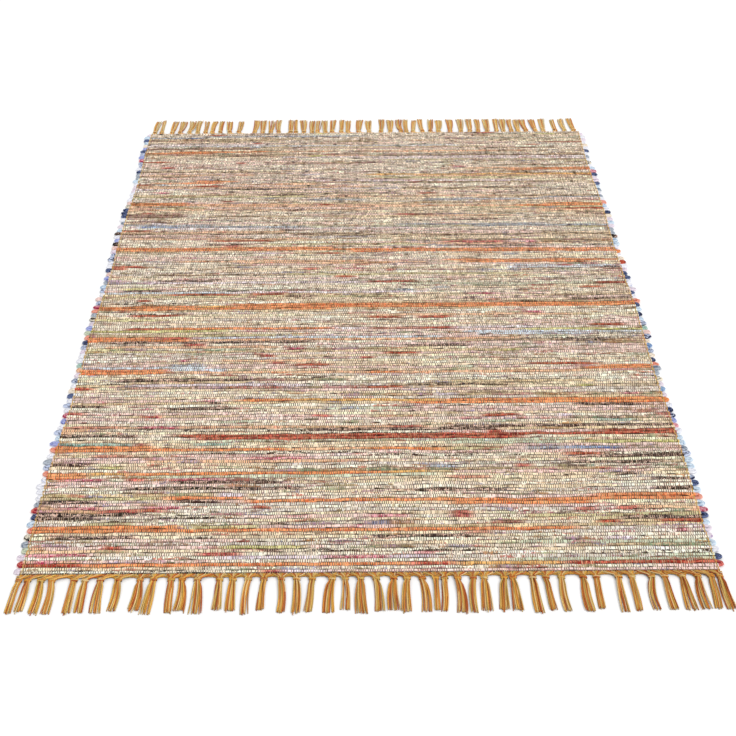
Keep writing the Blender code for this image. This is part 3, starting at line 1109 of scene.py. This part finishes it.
def tassel_paths(fringe, knots):
    """Each warp end from under the last rag, through its knot, to its tip on the floor.
    Each of its stations has a way out from the cloth's edge, a place across and a height."""
    side = fringe["side"]
    to = gathered(knots)
    knot_x = np.array([knot["x"] for knot in knots])[to]
    off = end_places - knot_x
    reach = np.clip(np.abs(off) / 0.02, 0, 1.2)
    rank = np.zeros(ENDS)
    for number in range(len(knots)):
        own = np.flatnonzero(to == number)
        rank[own] = (np.arange(len(own)) + 0.5) / max(len(own), 1)
    inside = (rank - 0.5) * 2 * KNOT_HALF_WIDTH * KNOT_FILL
    layer = chance.permutation(ENDS) % 3
    bundled = 0.0018 + 0.0019 * layer
    rough = chance.normal(size=(8, ENDS))
    deep = fringe["header"]
    ways = [-0.0045, 0.0012, (0.0042 + 0.0022 * reach) * deep, (0.0086 + 0.0024 * reach) * deep]
    ways += [KNOT_START, (KNOT_START + KNOT_END) / 2, KNOT_END + 0.001]
    places = [end_places - swept * off for swept in (0.0, 0.10, 0.38, 0.72)]
    places += [knot_x + bunched * inside for bunched in (1.35, 1.0, 0.9)]
    piled = 0.0006 * layer
    levels = [0.0030, (0.0034 + piled) * deep, (0.0030 + 0.0014 * reach + piled) * deep]
    levels += [(0.0032 + 0.0016 * reach + piled) * deep, bundled, bundled, bundled]
    tip_left = np.array([knot["left"] for knot in knots])[to] + YARN_RADIUS
    tip_right = np.array([knot["right"] for knot in knots])[to] - YARN_RADIUS
    tip = tip_left + (tip_right - tip_left) * rank + 0.0007 * rough[0]
    stray = chance.uniform(size=ENDS) < STRAY_ENDS
    tip += np.where(stray, 0.004 * rough[1], 0.0)
    length = np.array([knot["length"] for knot in knots])[to] + 0.0016 * rough[2]
    length += np.where(chance.uniform(size=ENDS) < LONG_ENDS, 0.007, 0.0)
    lean = chance.normal(size=len(knots))[to] * 0.0018
    on_top = np.argsort(np.argsort(rank + 0.001 * layer)) % 2
    rest = 0.0013 + 0.0017 * on_top * chance.uniform(0.6, 1.0, size=ENDS)
    for section in range(1, TASSEL_SECTIONS + 1):
        share = section / TASSEL_SECTIONS
        fan = share ** 0.45
        wave = 0.0006 * np.sin(rough[3] * 9 + share * (3.0 + rough[4]))
        wave = wave + 0.0010 * share ** 2 * rough[5]
        bow = lean * np.sin(math.pi * share)
        ways.append(KNOT_END + 0.001 + length * share)
        places.append((knot_x + 0.9 * inside) * (1 - fan) + tip * fan + wave + bow)
        lifted = (1 - share) ** 1.5
        levels.append(bundled * lifted + rest * (1 - lifted) + 0.0002 * rough[6])
    y = [side * (CLOTH_LENGTH / 2 + way) for way in ways]
    stations = [np.column_stack(np.broadcast_arrays(*at)) for at in zip(places, y, levels)]
    return np.stack(stations, axis=1)


WRAP_RADIUS = 0.0015
WRAP_TONE = 0.86
WRAP_SECTIONS = 14
TWINE_RADIUS = 0.00135
TWINE_SECTIONS = 539
TWINE_LAY = 0.017  # along the cord, for one turn of its strands


def knot_wraps(fringe, knots):
    """Two turns of yarn bound round each bundle, side by side and a little askew."""
    paths = []
    turn = np.linspace(-0.2, 1.3, WRAP_SECTIONS + 1) * math.tau
    for knot in knots:
        for number in range(2):
            skew = chance.uniform(-0.0016, 0.0016)
            wide = KNOT_HALF_WIDTH * chance.uniform(0.92, 1.12)
            out = KNOT_START + 0.0012 + 0.0024 * number + 0.0016 * turn / math.tau + skew * np.cos(turn)
            paths.append(np.column_stack([
                knot["x"] + wide * np.cos(turn),
                fringe["side"] * (CLOTH_LENGTH / 2 + out),
                KNOT_CENTRE_HEIGHT + 0.0030 * np.sin(turn),
            ]))
    return np.array(paths)


def twine_paths(fringe, knots):
    """Two cords, each of two strands twisted together, laid along the cloth's edge."""
    half = CLOTH_WIDTH / 2 + 0.003
    x = np.linspace(-half, half, TWINE_SECTIONS + 1)
    near = np.min(np.abs(x[:, None] - np.array([knot["x"] for knot in knots])[None, :]), axis=1)
    pull = np.clip(1 - near / 0.017, 0, 1)
    paths = []
    for out, dip, phase in ((0.0022, 0.0010, 0.0), (0.0060, 0.0042, 0.9)):
        for strand in (0, math.pi):
            twist = x / TWINE_LAY * math.tau + strand + phase
            out_here = (out + dip * pull) * fringe["header"] + 0.0009 * np.cos(twist)
            y = fringe["side"] * (CLOTH_LENGTH / 2 + out_here)
            paths.append(np.column_stack([x, y, 0.0029 * fringe["header"] + 0.0009 * np.sin(twist)]))
    return np.array(paths)


fringe_pieces = []
for name, fringe in FRINGES.items():
    end_name = name.split("_")[0]
    knots = knots_of(fringe, random.Random(name))
    paths = tassel_paths(fringe, knots)
    tassels = strands(f"{end_name}_tassels", ENDS, 5, paths.shape[1] - 1)
    thick = np.full(paths.shape[:2], YARN_RADIUS)
    thick[:, :4] *= 0.95
    thick[:, -1] *= 0.7
    dyes = end_colours ** fringe["depth"] * fringe["tone"]
    lay_strands(tassels, paths, thick, thick, dyes)
    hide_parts(name)
    wraps = strands(f"{end_name}_knots", 2 * len(knots), 5, WRAP_SECTIONS)
    picked = chance.integers(0, ENDS, size=2 * len(knots))
    wrap_paths = knot_wraps(fringe, knots)
    lay_strands(wraps, wrap_paths, WRAP_RADIUS, WRAP_RADIUS, WRAP_TONE * dyes[picked])
    twine = strands(f"{end_name}_twine", 4, 5, TWINE_SECTIONS)
    twine_dyes = dyes_of(["mustard", "straw", "mustard", "ochre"])
    lay_strands(twine, twine_paths(fringe, knots), TWINE_RADIUS, TWINE_RADIUS, twine_dyes)
    fringe_pieces += [tassels, wraps, twine]
